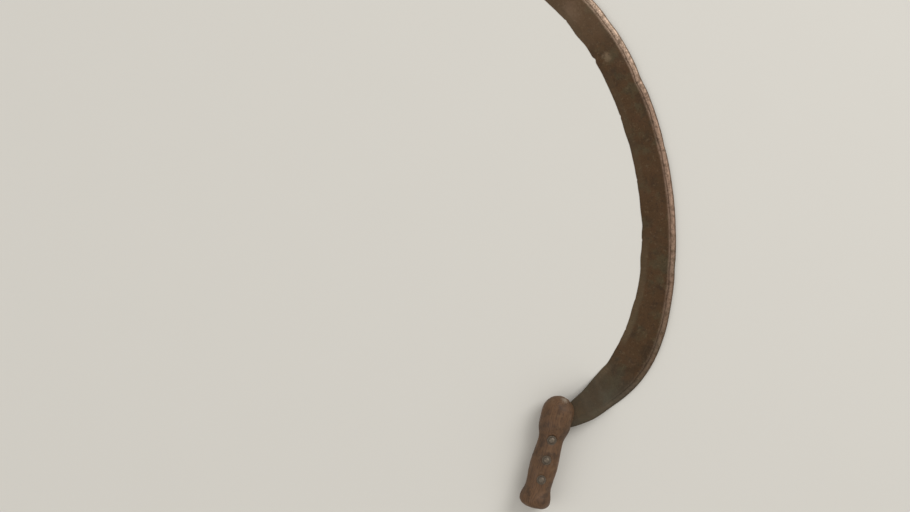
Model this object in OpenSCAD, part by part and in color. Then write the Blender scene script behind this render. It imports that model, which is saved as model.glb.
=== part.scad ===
// Hand-forged reaping hook: a ribbed crescent blade whose flat tang is riveted into a turned handle.
// It lies flat with its ribbed face up: the blade's underside is at z = 0 and the handle touches it too.
// Seen from above, the handle is at the bottom, the point at the top and the bow opens to the left.
// Plan positions are worked out from the middle of the handle's domed head, then centred at the end.

/* [Line of the blade's back] */
// Heading of the back where it leaves the handle, in degrees from +X
heel_heading = 18; // [12:1:24]
// Radius of the back at the heel
heel_radius = 223; // [180:1:400]
// Radius of the tight bend at the belly
belly_radius = 123; // [110:1:140]
// Radius of the stretch just above the belly
shank_radius = 490; // [400:5:600]
// Radius of the open upper stretch
open_radius = 440; // [360:5:600]
// Radius where the blade starts to close towards its point
crook_radius = 190; // [150:5:260]
// Radius of the back at the point
point_radius = 220; // [170:5:320]
// Length along the back from the handle to the belly bend
heel_len = 96; // [86:1:106]
// Length along the back from the belly bend to the open stretch
belly_len = 103; // [90:1:120]
// Length along the back of the open stretch
open_len = 290; // [220:5:340]
// Length along the back over which the curve tightens again
crook_len = 75; // [60:5:110]
// Length along the back from there to the point
point_len = 170; // [120:2:200]

/* [Blade widths] */
// Width where the blade meets the handle
heel_w = 26; // [22:0.5:28]
// Greatest width, just past the belly bend
belly_w = 47; // [42:0.5:54]
// Width of the long upper stretch
blade_w = 39.6; // [32:0.2:44]
// Width left at the very point
point_w = 2.4; // [1.5:0.1:5]
// Distance of the greatest width past the belly bend
belly_offset = 29; // [20:1:45]
// Length over which the blade narrows above its greatest width
narrowing_len = 110; // [90:5:150]
// Length of the taper that ends in the point
taper_len = 185; // [130:5:240]

/* [Blade section] */
// Width of the raised rib along the back
rib_w = 7.4; // [4:0.2:8]
// Height of the rib's crown above the underside
rib_h = 5.2; // [4:0.1:7]
// Height of the rib's outer side above the underside, where its crown starts
rib_side_h = 1.4; // [0.8:0.1:2]
// Thickness of the web beside the rib
web_t = 2.8; // [2.2:0.1:3.4]
// Thickness of the web where the bevel starts
web_edge_t = 1.9; // [1.4:0.1:2.2]
// Width of the ground bevel
bevel_w = 8; // [3:0.5:9]
// Thickness left at the cutting edge
edge_t = 0.35; // [0.2:0.05:0.6]

/* [Tang and cranked neck] */
// Width of the tang at its shoulder
tang_w = 15; // [12:0.5:18]
// Width of the tang at its end
tang_end_w = 11; // [10:0.5:12]
// Thickness of the tang and of the heel plate
tang_t = 4; // [3:0.1:5]
// Distance of the tang's shoulder from the tip of the handle's head
shoulder_at = 41; // [38:0.5:43]
// Distance of the tang's end from the tip of the handle's head
tang_end_at = 108; // [104:1:114]
// Distance along the back from the handle to the start of the crank
crank_start = 15; // [14:0.5:20]
// Length of the crank
crank_len = 36; // [30:1:44]
// Length past the crank over which the rib rises
rib_rise_len = 26; // [16:1:40]

/* [Handle] */
// Heading of the handle's axis, from pommel to head, in degrees from +X
handle_heading = 75; // [70:1:80]
// Length of the handle
handle_len = 130; // [124:1:150]
// Radius of the domed head
head_r = 18.4; // [17.6:0.1:20]
// Radius of the waist behind the head
waist_r = 14.4; // [13.6:0.1:15.4]
// Radius of the swell in the middle of the grip
grip_r = 16; // [15:0.1:17]
// Radius of the neck before the pommel
neck_r = 14.8; // [13.8:0.1:15.6]
// Radius of the pommel
pommel_r = 18; // [16:0.1:18.4]
// Length of the head's full width, behind the dome
head_side_len = 14; // [10:0.5:16]
// Distance of the waist from the tip of the head
waist_at = 52; // [48:1:56]
// Distance of the grip's swell from the tip of the head
grip_at = 82; // [78:1:86]
// Length from the pommel's neck to the handle's end
neck_to_end = 25; // [22:1:28]
// Length from the pommel's greatest width to the handle's end
pommel_to_end = 9; // [7:0.5:11]
// Clearance of the slot around the tang
slot_clear = 0.2; // [0.1:0.05:0.4]

/* [Rivets] */
// Distance of the first rivet from the tip of the head
rivet_at = 50; // [48:1:52]
// Distance from one rivet to the next
rivet_pitch = 23; // [20:1:25]
// Radius of the rivets' shank
rivet_r = 2.2; // [1.8:0.1:2.6]
// Radius of the rivets' heads
rivet_head_r = 4; // [3.5:0.1:4.5]
// Height of the formed head on the upper side
rivet_head_h = 2; // [1.4:0.1:2.4]
// Height of the hammered end on the underside
rivet_end_h = 1.6; // [1:0.1:1.8]
// Radius of the burrs, the washers under both ends
burr_r = 5.4; // [5:0.1:5.8]
// Thickness of the burrs
burr_t = 1; // [0.8:0.1:1.2]
// Clearance of the rivets in their holes
rivet_clear = 0.1; // [0.05:0.05:0.2]
// Clearance of the burrs in their pockets
burr_clear = 0.3; // [0.2:0.05:0.4]
// Depth of the burrs' pockets at the shallowest point of their rim
pocket_depth = 0.3; // [0.1:0.1:0.5]

/* [Hidden] */

// The handle rests on the floor on its widest ring, so its axis is one head radius up.
axis_z = max(head_r, pommel_r);
crank_h = axis_z - tang_t / 2;

// Places on the handle: a runs along its axis from the dome's middle, c runs across to the right.
function plan(a, c) = [a * cos(handle_heading) + c * sin(handle_heading),
                       a * sin(handle_heading) - c * cos(handle_heading)];
function heading_dir(h) = [cos(h), sin(h)];
function inward(h) = [-sin(h), cos(h)];

function ease(x) = let (t = min(1, max(0, x))) (1 - cos(180 * t)) / 2;
function mix(a, b, t) = a + (b - a) * t;
function bezier(p0, p1, p2, p3, t) =
    pow(1 - t, 3) * p0 + 3 * pow(1 - t, 2) * t * p1 + 3 * (1 - t) * t * t * p2 + pow(t, 3) * p3;

// The back is a chain whose curvature changes steadily between these lengths.
back_len = heel_len + belly_len + open_len + crook_len + point_len;
bends = [[0, 1 / heel_radius],
         [heel_len, 1 / belly_radius],
         [heel_len + belly_len, 1 / shank_radius],
         [heel_len + belly_len + open_len, 1 / open_radius],
         [heel_len + belly_len + open_len + crook_len, 1 / crook_radius],
         [back_len, 1 / point_radius]];
back_steps = 120;
back_step = back_len / back_steps;
function turn(s) = back_step * lookup(s + back_step / 2, bends) * 180 / PI;

// The back starts outside the head's side, on the line that the heel takes into the wood.
heel_gap = 6;
heel_drop = 9.7;
back_start = plan(-heel_drop, head_r + heel_gap);
back = [for (i = 0, h = heel_heading, p = back_start;
             i <= back_steps;
             p = p + back_step * heading_dir(h + turn(i * back_step) / 2),
             h = h + turn(i * back_step),
             i = i + 1) [p, h, i * back_step]];

widest_at = heel_len + belly_offset;
slim_at = widest_at + narrowing_len;
// Powers that shape the swelling above the handle and the taper to the point.
swell_power = 0.75;
taper_power = 1.9;
function blade_width(s) =
    s < widest_at ? mix(heel_w, belly_w, pow(sin(90 * s / widest_at), swell_power)) :
    s < slim_at ? mix(belly_w, blade_w, ease((s - widest_at) / (slim_at - widest_at))) :
    s < back_len - taper_len ? blade_w :
    mix(blade_w, point_w, pow((s - back_len + taper_len) / taper_len, taper_power));

// A station is its back corner, its edge corner, its height and how far it has become blade.
function blade_station(b) = let (s = b[2])
    [b[0], b[0] + blade_width(s) * inward(b[1]),
     crank_h * (1 - ease((s - crank_start) / crank_len)),
     ease((s - crank_start) / (crank_len + rib_rise_len))];

// Inside the head the plate turns from the heel into the tang, along one curve for each edge.
shoulder_a = head_r - shoulder_at;
tang_end_a = head_r - tang_end_at;
heel_pull = 12;
shoulder_pull = [6, 12];
turn_steps = 8;
heel_corners = [back[0][0], back[0][0] + heel_w * inward(heel_heading)];
function turn_corner(side, t) =
    let (from = plan(shoulder_a, (1 - 2 * side) * tang_w / 2), to = heel_corners[side])
    bezier(from, from + shoulder_pull[side] * heading_dir(handle_heading),
           to - heel_pull * heading_dir(heel_heading), to, t);
tang_stations = [for (t = [0, 0.5, 1])
    [for (side = [1, -1])
        plan(mix(tang_end_a, shoulder_a, t), side * mix(tang_end_w, tang_w, t) / 2)]];
turn_stations = [for (i = [1 : turn_steps - 1])
    [turn_corner(0, i / turn_steps), turn_corner(1, i / turn_steps)]];
stations = concat(
    [for (p = tang_stations) [p[0], p[1], crank_h, 0]],
    [for (p = turn_stations) [p[0], p[1], crank_h, 0]],
    [for (b = back) blade_station(b)]);

// The section runs round from the underside of the back, over the edge and the rib's crown.
// Near the point, rib and bevel keep these shares of the width, and under this width all thins out.
rib_share = 0.4;
bevel_share = 0.3;
full_section_w = 14;
crown_angles = [15, 45, 75, 105, 135, 165];
function blade_section(w) =
    let (rib = min(rib_w, rib_share * w), bevel = min(bevel_w, bevel_share * w),
         share = min(1, w / full_section_w),
         web = mix(edge_t + 0.4, web_t, share), web_edge = mix(edge_t + 0.3, web_edge_t, share),
         crown = mix(web + 0.5, rib_h, share), foot = min(rib_side_h, web))
    concat([[0.15 * rib, 0], [w - bevel, 0], [w, 0], [w, edge_t], [w - bevel, web_edge],
            [mix(rib, w - bevel, 0.12), web], [rib * 1.06, web + 0.1 * (crown - web)]],
           [for (g = crown_angles) [rib / 2 * (1 + cos(g)), mix(foot, crown, sin(g))]],
           [[0, foot]]);

// The plate's section has the same points, each across from its partner in the blade's section.
function plate_section(w) =
    let (crown_count = len(crown_angles))
    concat([[0, 0], [0.7 * w, 0], [w, 0], [w, tang_t], [0.85 * w, tang_t],
            [0.6 * w, tang_t], [0.5 * w, tang_t]],
           [for (i = [1 : crown_count]) [mix(0.5 * w, 0, i / (crown_count + 1)), tang_t]],
           [[0, tang_t]]);
ring_size = 8 + len(crown_angles);

function ring(st) =
    let (across = st[1] - st[0], w = norm(across), dir = across / w,
         a = plate_section(w), b = blade_section(w))
    [for (i = [0 : ring_size - 1])
        let (q = mix(a[i], b[i], st[3]), p = st[0] + q[0] * dir) [p[0], p[1], st[2] + q[1]]];
rings = [for (st = stations) ring(st)];

// The lathe profile of the handle, from the tip of its head to its end, as distances and radii.
// The flat end keeps this share of the pommel's radius.
end_share = 0.45;
neck_at = handle_len - neck_to_end;
pommel_at = handle_len - pommel_to_end;
swells = [[head_r + head_side_len, head_r], [waist_at, waist_r], [grip_at, grip_r],
          [neck_at, neck_r], [pommel_at, pommel_r]];
swell_steps = 8;
function swell_radius(t, i = 0) =
    t <= swells[i + 1][0] || i == len(swells) - 2
        ? mix(swells[i][1], swells[i + 1][1], ease((t - swells[i][0]) / (swells[i + 1][0] - swells[i][0])))
        : swell_radius(t, i + 1);
dome_steps = 12;
handle_profile = concat(
    [for (i = [0 : dome_steps]) let (g = 90 * i / dome_steps) [head_r * (1 - cos(g)), head_r * sin(g)]],
    [for (i = [0 : len(swells) - 2], j = [i == 0 ? 0 : 1 : swell_steps])
        let (t = mix(swells[i][0], swells[i + 1][0], j / swell_steps)) [t, swell_radius(t)]],
    [for (g = [15 : 15 : 90]) [pommel_at + pommel_to_end * sin(g), pommel_r * mix(end_share, 1, cos(g))]]);

// The origin is the middle of everything's box, on the floor.
handle_corners = [for (q = handle_profile, side = [1, -1])
    let (a = head_r - q[0])
    [a * cos(handle_heading) + side * q[1] * sin(handle_heading),
     a * sin(handle_heading) + side * q[1] * cos(handle_heading)]];
all_x = concat([for (st = stations, side = [0, 1]) st[side][0]], [for (p = handle_corners) p[0]]);
all_y = concat([for (st = stations, side = [0, 1]) st[side][1]], [for (p = handle_corners) p[1]]);
middle = [(min(all_x) + max(all_x)) / 2, (min(all_y) + max(all_y)) / 2];

// Cutting shapes run this far past what they cut.
overrun = 3;

// Rivets stand across the handle, and their burrs lie in flat pockets sunk into its round sides.
pocket_r = burr_r + burr_clear;
function rivet_t(i) = rivet_at + i * rivet_pitch;
function rivet_place(i) = plan(head_r - rivet_t(i), 0);
function seat(i) = sqrt(pow(swell_radius(rivet_t(i)), 2) - pow(pocket_r, 2)) - pocket_depth;

iron_color = "#5c4a38";
wood_color = "#7a4f33";
rivet_color = "#6c6258";
burr_color = "#75695c";
fine = 72;

module centred() {
    translate([-middle[0], -middle[1], 0]) children();
}

module at_rivet(i, z) {
    p = rivet_place(i);
    centred() translate([p[0], p[1], z]) children();
}

module rivet_holes(z, height) {
    for (i = [0 : 2])
        translate([rivet_place(i)[0], rivet_place(i)[1], z])
            cylinder(h = height, r = rivet_r + rivet_clear, $fn = fine);
}

module iron_solid() {
    last = len(rings) - 1;
    polyhedron(
        points = [for (r = rings, p = r) p],
        faces = concat(
            [[for (k = [0 : ring_size - 1]) k]],
            [for (i = [0 : last - 1], k = [0 : ring_size - 1], half = [0, 1])
                let (n = (k + 1) % ring_size, a = i * ring_size, b = a + ring_size)
                half == 0 ? [a + k, b + k, b + n] : [a + k, b + n, a + n]],
            [[for (k = [ring_size - 1 : -1 : 0]) last * ring_size + k]]),
        convexity = 6);
}

module blade() {
    color(iron_color)
        centred()
            difference() {
                iron_solid();
                rivet_holes(crank_h - overrun, tang_t + 2 * overrun);
            }
}

// The slot follows the tang and the heel's lower edge, and is open to the end of the head,
// so that the iron can be driven in along the handle's axis.
module tang_slot() {
    above = head_r + overrun;
    beside = head_r + heel_gap + overrun;
    lower_edge = [for (i = [turn_steps : -1 : 1]) turn_corner(0, i / turn_steps)
                  + slot_clear * heading_dir(heel_heading - 90)];
    outline = concat(
        [plan(tang_end_a - slot_clear, -tang_end_w / 2 - slot_clear),
         plan(shoulder_a, -tang_w / 2 - slot_clear),
         plan(above, -tang_w / 2 - slot_clear),
         plan(above, beside),
         plan(-heel_drop, beside)],
        lower_edge,
        [plan(shoulder_a - slot_clear, tang_w / 2 + slot_clear),
         plan(tang_end_a - slot_clear, tang_end_w / 2 + slot_clear)]);
    translate([0, 0, crank_h - slot_clear])
        linear_extrude(tang_t + 2 * slot_clear)
            polygon(outline);
}

module turned_handle() {
    translate([0, 0, axis_z])
        rotate([0, 90, handle_heading])
            rotate_extrude($fn = fine)
                polygon(concat([for (q = handle_profile) [q[1], head_r - q[0]]],
                               [[0, head_r - handle_len]]));
}

module burr_pockets() {
    for (i = [0 : 2], side = [1, -1])
        translate([rivet_place(i)[0], rivet_place(i)[1], axis_z + side * seat(i)])
            rotate([side > 0 ? 0 : 180, 0, 0])
                cylinder(h = head_r, r = pocket_r, $fn = fine);
}

module handle() {
    color(wood_color)
        centred()
            difference() {
                turned_handle();
                tang_slot();
                rivet_holes(0, 2 * axis_z);
                burr_pockets();
            }
}

// A rivet is one turned piece: shank, a domed head above and a flatter hammered end below.
module rivet(i) {
    top = seat(i) + burr_t;
    color(rivet_color)
        at_rivet(i, axis_z)
            rotate_extrude($fn = fine)
                polygon(concat(
                    [[0, -top - rivet_end_h]],
                    [for (g = [75 : -15 : 0]) [rivet_head_r * cos(g), -top - rivet_end_h * sin(g)]],
                    [[rivet_r, -top], [rivet_r, top]],
                    [for (g = [0 : 15 : 75]) [rivet_head_r * cos(g), top + rivet_head_h * sin(g)]],
                    [[0, top + rivet_head_h]]));
}

module burr(i, side) {
    color(burr_color)
        at_rivet(i, axis_z + (side > 0 ? seat(i) : -seat(i) - burr_t))
            difference() {
                cylinder(h = burr_t, r = burr_r, $fn = fine);
                translate([0, 0, -overrun])
                    cylinder(h = burr_t + 2 * overrun, r = rivet_r + rivet_clear, $fn = fine);
            }
}

module rivet_front() rivet(0);
module rivet_middle() rivet(1);
module rivet_rear() rivet(2);
module upper_burr_front() burr(0, 1);
module upper_burr_middle() burr(1, 1);
module upper_burr_rear() burr(2, 1);
module lower_burr_front() burr(0, -1);
module lower_burr_middle() burr(1, -1);
module lower_burr_rear() burr(2, -1);

blade();
handle();
rivet_front();
rivet_middle();
rivet_rear();
upper_burr_front();
upper_burr_middle();
upper_burr_rear();
lower_burr_front();
lower_burr_middle();
lower_burr_rear();
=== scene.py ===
from functools import partial
from math import cos, pi, radians, sin, sqrt

import bmesh
import bpy
from mathutils import Matrix, Vector, bvhtree, noise


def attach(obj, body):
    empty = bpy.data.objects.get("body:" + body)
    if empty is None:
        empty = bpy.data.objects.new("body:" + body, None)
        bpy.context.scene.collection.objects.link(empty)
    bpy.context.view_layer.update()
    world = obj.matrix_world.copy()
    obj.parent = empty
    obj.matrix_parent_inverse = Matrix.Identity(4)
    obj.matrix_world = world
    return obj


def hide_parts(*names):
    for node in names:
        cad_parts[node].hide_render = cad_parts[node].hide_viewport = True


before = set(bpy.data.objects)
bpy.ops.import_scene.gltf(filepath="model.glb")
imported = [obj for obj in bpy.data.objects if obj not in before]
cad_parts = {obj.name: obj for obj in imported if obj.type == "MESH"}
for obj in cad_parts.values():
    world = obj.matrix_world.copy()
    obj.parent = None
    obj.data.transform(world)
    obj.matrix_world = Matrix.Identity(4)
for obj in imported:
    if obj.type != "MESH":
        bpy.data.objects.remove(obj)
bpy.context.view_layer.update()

mm = 0.001  # Blender works in metres, the sizes below are in millimetres
weld = 0.002 * mm  # points closer than this become one
quarterTurn = pi / 2

# the kinds of node that come up most, and the setting that says what each does
maths, vectors, ramp = "ShaderNodeMath", "ShaderNodeVectorMath", "ShaderNodeMapRange"
mixer, clouds, combine = "ShaderNodeMix", "ShaderNodeTexNoise", "ShaderNodeCombineXYZ"
switch, sampled = "GeometryNodeSwitch", "GeometryNodeSampleIndex"
toldSetting = {maths: "operation", vectors: "operation", ramp: "interpolation_type",
               mixer: "data_type", clouds: "noise_dimensions",
               switch: "input_type", sampled: "data_type"}
times, minus, timesPlus, eased = "MULTIPLY", "SUBTRACT", "MULTIPLY_ADD", "SMOOTHSTEP"


def linear(hexColour):
    # an sRGB hex value as the linear colour that a socket takes
    parts = [int(hexColour[i:i + 2], 16) / 255 for i in (1, 3, 5)]
    return tuple(c / 12.92 if c <= 0.04045 else ((c + 0.055) / 1.055) ** 2.4 for c in parts) + (1,)


def add(tree, kind, inputs=(), told=None, **settings):
    # a node with its settings, told being its main one; inputs go by name or number, or in the
    # node's own order, which for a ramp is value, from low, from high, to low, to high;
    # each input is a plain value, a socket, or a node whose first output is meant; a mixer's
    # inputs are 0 the share, 2 and 3 numbers, 4 and 5 vectors, 6 and 7 colours
    made = tree.nodes.new(kind)
    if told:
        settings[toldSetting[kind]] = told
    for name, value in settings.items():
        setattr(made, name, value)
    for key, value in inputs.items() if isinstance(inputs, dict) else enumerate(inputs):
        if isinstance(value, bpy.types.Node):
            value = next(out for out in value.outputs if out.enabled)
        if isinstance(value, bpy.types.NodeSocket):
            tree.links.new(value, made.inputs[key])
        else:
            made.inputs[key].default_value = value
    return made


def newTree(name, sizes):
    # a Geometry Nodes tree with a mesh going in and out, and one named input for each size
    tree = bpy.data.node_groups.new(name, "GeometryNodeTree")
    kinds = {int: "Int", float: "Float"}
    sockets = [("Geometry", "INPUT", "Geometry")]
    sockets += [(label, "INPUT", kinds[type(value)]) for label, value in sizes.items()]
    sockets += [("Material", "INPUT", "Material"), ("Geometry", "OUTPUT", "Geometry")]
    for label, way, kind in sockets:
        tree.interface.new_socket(label, in_out=way, socket_type="NodeSocket" + kind)
    node = partial(add, tree)
    return tree, node, node("NodeGroupInput").outputs


def inFrame(node, shape):
    # from millimetres about the head's middle to metres about the frame's origin
    return node("GeometryNodeTransform", {
        "Geometry": shape, "Translation": (-middle[0] * mm, -middle[1] * mm, 0), "Scale": (mm, mm, mm)})


def endTree(node, given, shape):
    smooth = node("GeometryNodeSetShadeSmooth", {"Geometry": shape})
    real = node("GeometryNodeRealizeInstances", {"Geometry": smooth})
    finished = node("GeometryNodeSetMaterial", {"Geometry": real, "Material": given["Material"]})
    node("NodeGroupOutput", {"Geometry": finished})


def newObject(name, data):
    made = bpy.data.objects.new(name, data)
    bpy.context.scene.collection.objects.link(made)
    return made


def grow(name, tree, sizes, material, start=None):
    # runs a tree on a start mesh and keeps what it makes as a plain mesh
    piece = newObject(name, start or bpy.data.meshes.new(name))
    modifier = piece.modifiers.new(name, "NODES")
    modifier.node_group = tree
    for socket in tree.interface.items_tree:
        if socket.in_out == "INPUT" and socket.name != "Geometry":
            modifier[socket.identifier] = material if socket.name == "Material" else sizes[socket.name]
    settle(piece)
    return piece


def settle(piece, sharpAngle=38):
    # turns what the modifiers give into the piece's own mesh: closed, faces outwards, corners crisp
    graph = bpy.context.evaluated_depsgraph_get()
    mesh = bpy.data.meshes.new_from_object(piece.evaluated_get(graph))
    piece.modifiers.clear()
    piece.data = mesh
    mesh.name = piece.name
    shell = bmesh.new()
    shell.from_mesh(mesh)
    bmesh.ops.remove_doubles(shell, verts=shell.verts, dist=weld)
    bmesh.ops.recalc_face_normals(shell, faces=shell.faces)
    shell.to_mesh(mesh)
    shell.free()
    mesh.set_sharp_from_angle(angle=radians(sharpAngle))
    print(piece.name, len(mesh.vertices), "points")


def ease(x):
    x = min(1, max(0, x))
    return (1 - cos(pi * x)) / 2


# the hook's own lines, as the CAD has them

middle = (10.928, 211.443)  # middle of the whole box in plan, seen from the head's middle

handleSizes = {
    "heading": 75, "length": 130, "axisHeight": 18.4,
    "headRadius": 18.4, "headSide": 14,
    "swells": [(52, 14.4), (82, 16), (105, 14.8), (121, 18)],  # distance from the tip, radius
    "pommelEnd": 0.45,  # share of the pommel's radius that is left at its flat end
}
handleTurn = radians(handleSizes["heading"])


def toFrame(height=0):
    # the same step as inFrame as a matrix, with a rise in millimetres
    return Matrix.Diagonal((mm, mm, mm, 1)) @ Matrix.Translation((-middle[0], -middle[1], height))


def onHandle(a, c):
    # a along the handle's axis from the head's middle, c across it to the right
    sine, cosine = sin(handleTurn), cos(handleTurn)
    return Vector((a * cosine + c * sine, a * sine - c * cosine, 0))


bladeSizes = {
    "Heel Heading": 18.0,
    "Heel Radius": 223.0, "Belly Radius": 123.0, "Shank Radius": 490.0,
    "Open Radius": 440.0, "Crook Radius": 190.0, "Point Radius": 220.0,
    "Heel Length": 96.0, "Belly Length": 103.0, "Open Length": 290.0,
    "Crook Length": 75.0, "Point Length": 169.6,
    "Heel Width": 26.0, "Belly Width": 47.0, "Blade Width": 39.6, "Point Width": 2.4,
    "Belly Offset": 29.0, "Narrowing Length": 110.0, "Taper Length": 185.0,
    "Rib Width": 7.4, "Rib Height": 5.2, "Rib Side Height": 1.4,
    "Web Thickness": 2.8, "Web Edge Thickness": 1.9, "Bevel Width": 8.0, "Edge Thickness": 0.35,
    "Plate Thickness": 4.0, "Crank Height": 16.4, "Crank Start": 15.0, "Crank Length": 36.0,
    "Rib Rise Length": 26.0,
    "Hammer Depth": 0.36, "Edge Wander": 0.55, "Back Wander": 0.4, "Rib Wander": 1.1,
}
form = {
    "swellPower": 0.75, "taperPower": 1.9,  # how fast the heel widens and the point narrows
    "fullSection": 14, "ribShare": 0.4, "bevelShare": 0.3,  # below this width all sizes shrink
    "crownPower": 2.6, "crownFlat": 0.45,  # flatter on top than half a circle
    "underInset": 0.15,  # share of the rib's width by which the underside stays back
    "ribRows": 0.34, "webRows": 0.8,  # share of the rows up to the rib's foot and the bevel
    "narrowBevel": 6.2, "hammerMark": 13, "hammerSwell": 19, "leastWidth": 0.8,
    # shares of the hammer's depth: marks, slow swellings, on the rib, at the edge, underneath
    "marksDeep": 0.75, "swellsDeep": 0.6, "ribDeep": 0.45, "edgeDeep": 0.1, "underDeep": 0.5,
    "wearStart": (8, 40),  # stretch of the back over which wear sets in
    "tangMiddle": 2.0, "pointMiddle": 0.6,  # heights of the points that close the two ends
    # how far apart the waves of each line lie, in mm
    "backWave": 46, "edgeWave": 31, "ribWave": 27, "bevelWave": 38,
}
bladeMesh = {"tang": 20, "turn": 18, "back": 480, "top": 46, "under": 14}
# what years of work left: place along the back, depth and half length; nicks first, then the long
# hollows of uneven grinding and, with a negative depth, the swells between them
edgeNicks = [(499.5, 1.7, 4.5), (188, 0.5, 5), (262, 0.7, 2.4), (338, 0.5, 2), (421, 0.8, 3),
             (566, 0.6, 3), (641, 0.5, 2.5), (143, 0.5, 3),
             (118, 1.2, 72), (79, 0.7, 20), (158, 0.6, 20), (282, 0.8, 18), (240, -1.0, 20),
             (400, -0.7, 18), (541, -1.2, 20)]
backKinks = [(528, 0.8, 16), (454, 0.9, 18), (372, 0.4, 12), (231, 0.4, 14)]
# the tang's end, its shoulder in the head and the heel's outer corner: along and across the handle
tang = {"end": (-89.6, 5.5), "shoulder": (-22.6, 7.5), "heel": (-9.7, 24.4),
        "pulls": (6, 12), "heelPull": 12}  # how stiffly the two edges leave the tang and reach the heel
heelTurn = radians(bladeSizes["Heel Heading"])
heelForward = Vector((cos(heelTurn), sin(heelTurn), 0))
heelInward = Vector((-sin(heelTurn), cos(heelTurn), 0))
backStart = onHandle(*tang["heel"])


def forgedBladeTree():
    tree, node, given = newTree("forgedBlade", bladeSizes)
    index = node("GeometryNodeInputIndex")
    tangCount = bladeMesh["tang"]
    first = tangCount + bladeMesh["turn"]
    stations = first + bladeMesh["back"] + 1

    # how far along the back each station of the long line lies
    ends = [0.0]
    for name in ("Heel", "Belly", "Open", "Crook", "Point"):
        ends.append(node(maths, (ends[-1], given[name + " Length"])))
    step = node(maths, (ends[-1], bladeMesh["back"]), "DIVIDE")
    past = node(maths, (index, first), minus)
    onBack = node(maths, (past, -0.5), "GREATER_THAN")
    steps = node(maths, (past, 0), "MAXIMUM")
    along = node(maths, (steps, step), times)
    halfWay = node(maths, (step, 0.5, along), timesPlus)

    # the bend changes steadily from one radius to the next, and the back adds up its turns
    bends = [node(maths, (1, given[name + " Radius"]), "DIVIDE")
             for name in ("Heel", "Belly", "Shank", "Open", "Crook", "Point")]
    bend = bends[0]
    for low, high, start, end in zip(bends, bends[1:], ends, ends[1:]):
        change = node(maths, (high, low), minus)
        rise = node(ramp, (halfWay, start, end, 0, change))
        bend = node(maths, (bend, rise))
    move = node(maths, (step, onBack), times)
    turn = node(maths, (bend, move), times)
    turned = node("GeometryNodeAccumulateField", {"Value": turn})
    startHeading = node(maths, (given["Heel Heading"],), "RADIANS")
    heading = node(maths, (startHeading, turned.outputs["Trailing"]))
    midHeading = node(maths, (turn, 0.5, heading), timesPlus)
    forward = node(combine, [node(maths, (midHeading,), told) for told in ("COSINE", "SINE")])
    stride = node(vectors, {0: forward, "Scale": move}, "SCALE")
    walked = node("GeometryNodeAccumulateField", {"Value": stride}, data_type="FLOAT_VECTOR")
    back = node(vectors, (walked.outputs["Trailing"], backStart))
    sine, cosine = [node(maths, (heading,), told) for told in ("SINE", "COSINE")]
    inward = node(combine, (node(maths, (sine, -1), times), cosine))

    # width: swells to the belly, narrows to the long stretch, and tapers to the point
    widest = node(maths, (ends[1], given["Belly Offset"]))
    slim = node(maths, (widest, given["Narrowing Length"]))
    quarter = node(ramp, (along, 0, widest, 0, quarterTurn))
    swell = node(maths, (node(maths, (quarter,), "SINE"), form["swellPower"]), "POWER")
    narrowing = node(ramp, (along, widest, slim), eased)
    taperStart = node(maths, (ends[-1], given["Taper Length"]), minus)
    taper = node(ramp, (along, taperStart, ends[-1]))
    taper = node(maths, (taper, form["taperPower"]), "POWER")
    width = given["Heel Width"]
    for share, high, low in ((swell, "Belly Width", "Heel Width"),
                             (narrowing, "Blade Width", "Belly Width"),
                             (taper, "Point Width", "Blade Width")):
        change = node(maths, (given[high], given[low]), minus)
        width = node(maths, (share, change, width), timesPlus)

    # wear: both lines wander inwards a little, with nicks in the edge and kinks in the back
    awake = node(ramp, (along, *form["wearStart"]))
    worn = []
    for name, marks, seed in (("back", backKinks, 3.7), ("edge", edgeNicks, 9.1)):
        wave = node(maths, (along, 1 / form[name + "Wave"], seed), timesPlus)
        wave = node(clouds, {"W": wave, "Scale": 1, "Detail": 3}, "1D")
        total = node(ramp, (wave, 0.35, 0.72, 0.06, given[name.title() + " Wander"]))
        for at, depth, half in marks:
            off = node(maths, (along, at), minus)
            off = node(maths, (off,), "ABSOLUTE")
            mark = node(ramp, (off, 0, half, depth, 0), eased)
            total = node(maths, (total, mark))
        worn.append(node(maths, (total, awake), times))
    keptWidth = node(maths, (width, worn[1]), minus)
    keptWidth = node(maths, (keptWidth, form["leastWidth"]), "MAXIMUM")
    corners = []
    for shift in (worn[0], keptWidth):
        shift = node(vectors, {0: inward, "Scale": shift}, "SCALE")
        corners.append(node(vectors, (back, shift)))

    # the tang is straight, and between it and the heel each edge follows one bent curve
    tangShare = node(maths, (index, tangCount), "DIVIDE")
    turnShare = node(ramp, (index, tangCount, first))
    inTang = node(maths, (index, tangCount), "LESS_THAN")
    inTurn = node(maths, (index, first), "LESS_THAN")
    for i, side in enumerate((1, -1)):
        tangEnd, shoulder = [onHandle(tang[n][0], side * tang[n][1]) for n in ("end", "shoulder")]
        heelCorner = backStart + i * bladeSizes["Heel Width"] * heelInward
        curve = node("GeometryNodeCurvePrimitiveBezierSegment", {
            "Resolution": 40, "Start": shoulder,
            "Start Handle": shoulder + tang["pulls"][i] * onHandle(1, 0),
            "End Handle": heelCorner - tang["heelPull"] * heelForward, "End": heelCorner})
        bent = node("GeometryNodeSampleCurve", {"Curves": curve, "Factor": turnShare}, mode="FACTOR")
        straight = node(mixer, {0: tangShare, 4: tangEnd, 5: shoulder}, "VECTOR")
        corner = node(switch, (inTurn, corners[i], bent.outputs["Position"]), "VECTOR")
        corners[i] = node(switch, (inTang, corner, straight), "VECTOR")

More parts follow.
